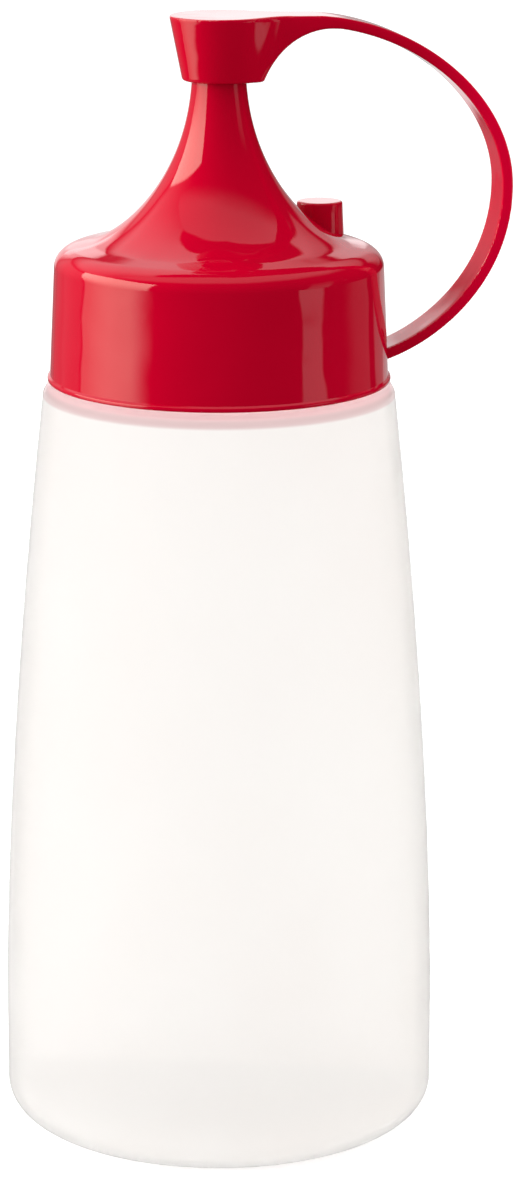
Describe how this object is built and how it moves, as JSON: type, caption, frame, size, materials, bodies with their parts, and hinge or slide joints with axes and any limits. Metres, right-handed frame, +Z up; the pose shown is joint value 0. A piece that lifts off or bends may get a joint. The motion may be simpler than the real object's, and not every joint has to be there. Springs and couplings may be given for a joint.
{
  "type": "squeeze bottle",
  "caption": "Frosted squeeze bottle with a round drawn-in body and a glossy nozzle cap whose stopper hangs on a looped strap.",
  "frame": {"origin": "on the bottle's axis in the plane that it stands on", "axes": "+Z up along the bottle's axis, +X towards the strap's loop, +Y completes a right-handed frame"},
  "size_m": [0.0825, 0.0704, 0.1808],
  "materials": {
    "frosted_plastic": "frosted, milky and half clear, with a soft sheen",
    "red_plastic": "glossy moulded red plastic"
  },
  "bodies": {
    "root": {"bottle": "frosted_plastic", "cap": "red_plastic"}
  },
  "joints": []
}
